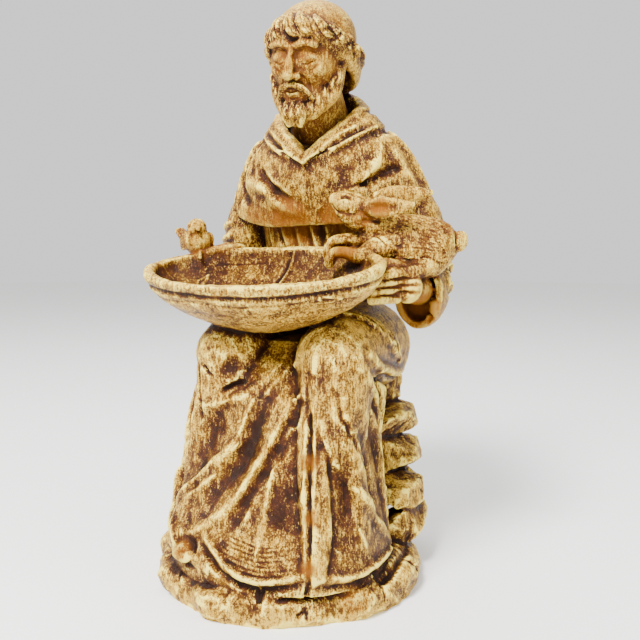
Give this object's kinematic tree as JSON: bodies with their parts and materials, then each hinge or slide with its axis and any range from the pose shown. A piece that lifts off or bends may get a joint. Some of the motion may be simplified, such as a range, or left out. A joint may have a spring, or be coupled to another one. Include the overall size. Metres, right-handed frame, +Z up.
{
  "type": "garden statue bird feeder",
  "caption": "Seated friar in a hooded habit holding a wide feeding bowl on the knees, with a bird on its rim and a rabbit on the forearm, on a rock base.",
  "frame": {"origin": "middle of the flat underside", "axes": "+Z up, -Y the way the torso faces and the bowl is held, +X the figure's left"},
  "size_m": [0.2316, 0.2163, 0.43],
  "materials": {
    "antiqued_resin": "cast resin, brown in the recesses, ochre and cream dry-brushed on the ridges, satin"
  },
  "bodies": {
    "root": {"saint_francis_statue": "antiqued_resin"}
  },
  "joints": []
}
